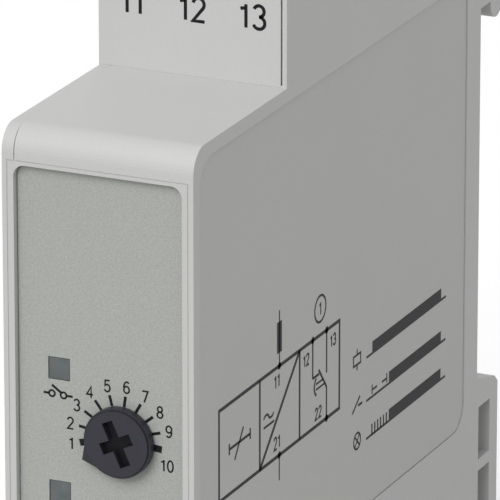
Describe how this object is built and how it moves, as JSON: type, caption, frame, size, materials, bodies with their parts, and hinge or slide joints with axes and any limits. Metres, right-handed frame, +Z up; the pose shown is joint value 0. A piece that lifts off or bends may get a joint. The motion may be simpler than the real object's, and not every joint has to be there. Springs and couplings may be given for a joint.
{
  "type": "din rail timer",
  "caption": "Slim DIN rail timer module with a stepped nose, time and range knobs, screw terminals above and below, and a sprung clip for a 35 mm rail.",
  "frame": {"origin": "on the flat rear face that rests on the rail, at the rail centre line and mid width", "axes": "+Z up the module (its length), +Y towards the rail, -Y the front, +X the labelled side"},
  "size_m": [0.0176, 0.0677, 0.081],
  "materials": {
    "shell_plastic": "fine satin texture, light grey",
    "label_film": "matt printed film, light grey",
    "side_label_film": "matt printed film, light grey",
    "knob_plastic": "satin dark blue-grey",
    "window_lens": "smooth smoked lens",
    "led_red": "clear tinted resin",
    "clip_plastic": "satin light grey",
    "steel": "zinc plated",
    "brass": "tinned brass",
    "copper_wire": "enamelled copper winding",
    "circuit_board": "green solder mask",
    "black_plastic": "moulded black",
    "blue_plastic": "moulded blue",
    "brown_resin": "dipped resin"
  },
  "bodies": {
    "module": {"housing_body": "shell_plastic", "side_cover": "shell_plastic", "front_cover": "shell_plastic", "terminal_block_top": "shell_plastic", "terminal_block_bottom": "shell_plastic", "front_label": "label_film", "side_label": "side_label_film", "relay_window": "window_lens", "power_window": "window_lens", "relay_led": "led_red", "power_led": "led_red", "time_potentiometer": "blue_plastic", "range_potentiometer": "blue_plastic", "main_board": "circuit_board", "front_board": "circuit_board", "terminal_board_top": "circuit_board", "terminal_board_bottom": "circuit_board", "board_connector": "black_plastic", "relay_base": "black_plastic", "relay_cover": "black_plastic", "relay_yoke": "steel", "relay_coil": "copper_wire", "relay_contact_make": "brass", "relay_contact_break": "brass", "dropper_capacitor": "brown_resin", "varistor": "blue_plastic", "smoothing_capacitor": "black_plastic", "rectifier": "black_plastic", "timer_chip": "black_plastic", "rail_clip_spring": "steel", "contact_blade_1": "brass", "contact_blade_2": "brass", "contact_blade_3": "brass", "contact_blade_4": "brass", "contact_blade_5": "brass", "contact_blade_6": "brass"},
    "time_dial": {"time_knob": "knob_plastic", "time_pot_rotor": "steel"},
    "range_dial": {"range_knob": "knob_plastic", "range_pot_rotor": "steel"},
    "armature": {"relay_armature": "steel"},
    "clip": {"rail_clip": "clip_plastic"},
    "screw_1": {"terminal_screw_1": "steel"},
    "cage_1": {"clamp_cage_1": "steel"},
    "screw_2": {"terminal_screw_2": "steel"},
    "cage_2": {"clamp_cage_2": "steel"},
    "screw_3": {"terminal_screw_3": "steel"},
    "cage_3": {"clamp_cage_3": "steel"},
    "screw_4": {"terminal_screw_4": "steel"},
    "cage_4": {"clamp_cage_4": "steel"},
    "screw_5": {"terminal_screw_5": "steel"},
    "cage_5": {"clamp_cage_5": "steel"},
    "screw_6": {"terminal_screw_6": "steel"},
    "cage_6": {"clamp_cage_6": "steel"}
  },
  "joints": [
    {"name": "time_dial_turn", "type": "hinge", "parent": "module", "child": "time_dial", "pos_m": [0.00184, -0.061, -0.0039], "axis": [0, 1, 0], "range_deg": [0, 233]},
    {"name": "range_dial_turn", "type": "hinge", "parent": "module", "child": "range_dial", "pos_m": [0.00184, -0.061, -0.01505], "axis": [0, 1, 0], "range_deg": [0, 233]},
    {"name": "screw_1_turn", "type": "hinge", "parent": "module", "child": "screw_1", "pos_m": [-0.0056, -0.038, 0.0346], "axis": [0, 1, 0], "range_deg": [0, 1872]},
    {"name": "cage_1_rise", "type": "slide", "parent": "module", "child": "cage_1", "axis": [0, -1, 0], "range_m": [0, 0.0026]},
    {"name": "screw_2_turn", "type": "hinge", "parent": "module", "child": "screw_2", "pos_m": [0, -0.038, 0.0346], "axis": [0, 1, 0], "range_deg": [0, 1872]},
    {"name": "cage_2_rise", "type": "slide", "parent": "module", "child": "cage_2", "axis": [0, -1, 0], "range_m": [0, 0.0026]},
    {"name": "screw_3_turn", "type": "hinge", "parent": "module", "child": "screw_3", "pos_m": [0.0056, -0.038, 0.0346], "axis": [0, 1, 0], "range_deg": [0, 1872]},
    {"name": "cage_3_rise", "type": "slide", "parent": "module", "child": "cage_3", "axis": [0, -1, 0], "range_m": [0, 0.0026]},
    {"name": "screw_4_turn", "type": "hinge", "parent": "module", "child": "screw_4", "pos_m": [0.0056, -0.038, -0.0346], "axis": [0, 1, 0], "range_deg": [0, 1872]},
    {"name": "cage_4_rise", "type": "slide", "parent": "module", "child": "cage_4", "axis": [0, -1, 0], "range_m": [0, 0.0026]},
    {"name": "screw_5_turn", "type": "hinge", "parent": "module", "child": "screw_5", "pos_m": [0, -0.038, -0.0346], "axis": [0, 1, 0], "range_deg": [0, 1872]},
    {"name": "cage_5_rise", "type": "slide", "parent": "module", "child": "cage_5", "axis": [0, -1, 0], "range_m": [0, 0.0026]},
    {"name": "screw_6_turn", "type": "hinge", "parent": "module", "child": "screw_6", "pos_m": [-0.0056, -0.038, -0.0346], "axis": [0, 1, 0], "range_deg": [0, 1872]},
    {"name": "cage_6_rise", "type": "slide", "parent": "module", "child": "cage_6", "axis": [0, -1, 0], "range_m": [0, 0.0026]},
    {"name": "armature_pull", "type": "hinge", "parent": "module", "child": "armature", "pos_m": [0.00445, -0.014, 0.00835], "axis": [0, -1, 0], "range_deg": [0, 4.6], "stiffness_Nm_per_rad": 0.02, "springref_deg": -5.73},
    {"name": "clip_release", "type": "slide", "parent": "module", "child": "clip", "axis": [0, 0, -1], "range_m": [0, 0.004], "stiffness_N_per_m": 400, "springref_m": -0.003, "deforming": ["rail_clip_spring"]}
  ],
  "couplings": [
    {"joint": "screw_1_turn", "follows": "cage_1_rise", "rad_per_m": 12566},
    {"joint": "screw_2_turn", "follows": "cage_2_rise", "rad_per_m": 12566},
    {"joint": "screw_3_turn", "follows": "cage_3_rise", "rad_per_m": 12566},
    {"joint": "screw_4_turn", "follows": "cage_4_rise", "rad_per_m": 12566},
    {"joint": "screw_5_turn", "follows": "cage_5_rise", "rad_per_m": 12566},
    {"joint": "screw_6_turn", "follows": "cage_6_rise", "rad_per_m": 12566}
  ]
}
